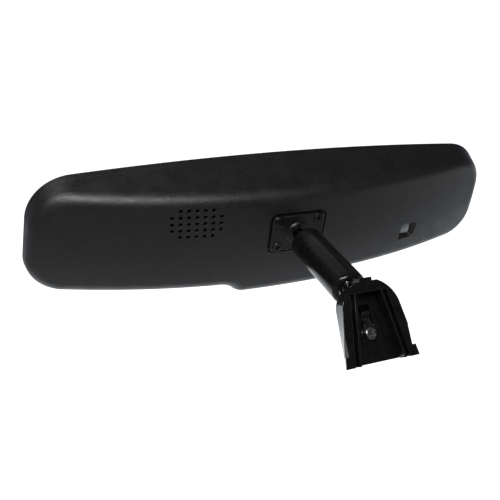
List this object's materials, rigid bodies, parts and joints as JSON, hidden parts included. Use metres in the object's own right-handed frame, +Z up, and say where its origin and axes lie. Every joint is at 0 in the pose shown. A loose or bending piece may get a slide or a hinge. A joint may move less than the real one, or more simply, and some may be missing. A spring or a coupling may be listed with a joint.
{
  "type": "interior rearview mirror",
  "caption": "Interior rearview mirror with a rounded crowned housing, a screwed mounting plate, a double-ball tubular arm and a sliding windscreen foot.",
  "frame": {"origin": "middle of the floor of the foot's slide channel, where the windscreen button sits", "axes": "+X along the mirror's length, the glass faces -Y (the driver), +Z up; the windscreen side is +Y"},
  "size_m": [0.2594, 0.1166, 0.072],
  "materials": {
    "gloss_black": "glossy black enamel",
    "plate_black": "satin black",
    "housing_plastic": "fine textured black moulding",
    "button_plastic": "satin",
    "clear_glass": "polished",
    "mirror_glass": "silvered",
    "seal_rubber": "matt",
    "foam": "soft foam",
    "inner_plastic": "matt",
    "board": "solder mask",
    "chip_plastic": "moulded",
    "lens_plastic": "translucent grey",
    "socket_plastic": "moulded",
    "pin_brass": "plated",
    "spring_steel": "bright",
    "screw_steel": "zinc plated",
    "black_screw": "black oxide with worn edges",
    "stud_steel": "blackened steel",
    "socket_metal": "turned steel",
    "bearing_plastic": "acetal",
    "paper_cone": "coated paper",
    "magnet": "zinc plated"
  },
  "bodies": {
    "foot": {"foot_bracket": "gloss_black", "clip_spring": "spring_steel", "clip_screw": "screw_steel", "foot_ball_stud": "stud_steel"},
    "foot_liner": {"foot_ball_liner": "bearing_plastic"},
    "arm": {"arm_tube": "gloss_black", "foot_socket_ring": "socket_metal", "foot_socket_cup": "socket_metal", "spring_seats": "socket_metal", "arm_spring": "spring_steel"},
    "head_socket": {"head_socket_ring": "socket_metal", "head_socket_cup": "socket_metal"},
    "head_liner": {"head_ball_liner": "bearing_plastic"},
    "head": {"head_ball_stud": "stud_steel", "mount_plate": "plate_black", "plate_screws": "black_screw", "backing_plate": "socket_metal", "rear_housing": "housing_plastic", "front_bezel": "housing_plastic", "front_glass": "clear_glass", "cell_seal": "seal_rubber", "rear_glass": "mirror_glass", "foam_pad": "foam", "carrier_plate": "inner_plastic", "circuit_board": "board", "board_components": "chip_plastic", "board_screws": "screw_steel", "light_sensor": "chip_plastic", "sensor_lens": "lens_plastic", "wire_socket": "socket_plastic", "socket_pins": "pin_brass", "speaker_gasket": "foam", "speaker_basket": "socket_metal", "speaker_cone": "paper_cone", "speaker_magnet": "magnet", "button_board": "board", "button_switches": "chip_plastic", "front_chips": "chip_plastic", "glare_lens": "lens_plastic", "status_light": "lens_plastic"},
    "button_left": {"button_left": "button_plastic"},
    "button_middle": {"button_middle": "button_plastic"},
    "button_right": {"button_right": "button_plastic"}
  },
  "joints": [
    {"name": "arm_pan", "type": "hinge", "parent": "foot", "child": "foot_liner", "pos_m": [0, -0.02183, 0.00421], "axis": [0, 0, 1], "range_deg": [-18, 18]},
    {"name": "arm_tilt", "type": "hinge", "parent": "foot_liner", "child": "arm", "pos_m": [0, -0.02183, 0.00421], "axis": [1, 0, 0], "range_deg": [-15, 15]},
    {"name": "head_roll", "type": "hinge", "parent": "arm", "child": "head_socket", "pos_m": [0, -0.05567, 0.00089], "axis": [0, 0.9952, 0.0976], "range_deg": [-12, 12]},
    {"name": "head_tilt", "type": "hinge", "parent": "head_socket", "child": "head_liner", "pos_m": [0, -0.05567, 0.00089], "axis": [1, 0, 0], "range_deg": [-15, 15]},
    {"name": "head_pan", "type": "hinge", "parent": "head_liner", "child": "head", "pos_m": [0, -0.05567, 0.00089], "axis": [0, 0, 1], "range_deg": [-18, 18]},
    {"name": "press_left", "type": "slide", "parent": "head", "child": "button_left", "axis": [0, 1, 0], "range_m": [0, 0.0005], "stiffness_N_per_m": 1200, "springref_m": -0.0004},
    {"name": "press_middle", "type": "slide", "parent": "head", "child": "button_middle", "axis": [0, 1, 0], "range_m": [0, 0.0005], "stiffness_N_per_m": 1200, "springref_m": -0.0004},
    {"name": "press_right", "type": "slide", "parent": "head", "child": "button_right", "axis": [0, 1, 0], "range_m": [0, 0.0005], "stiffness_N_per_m": 1200, "springref_m": -0.0004}
  ]
}
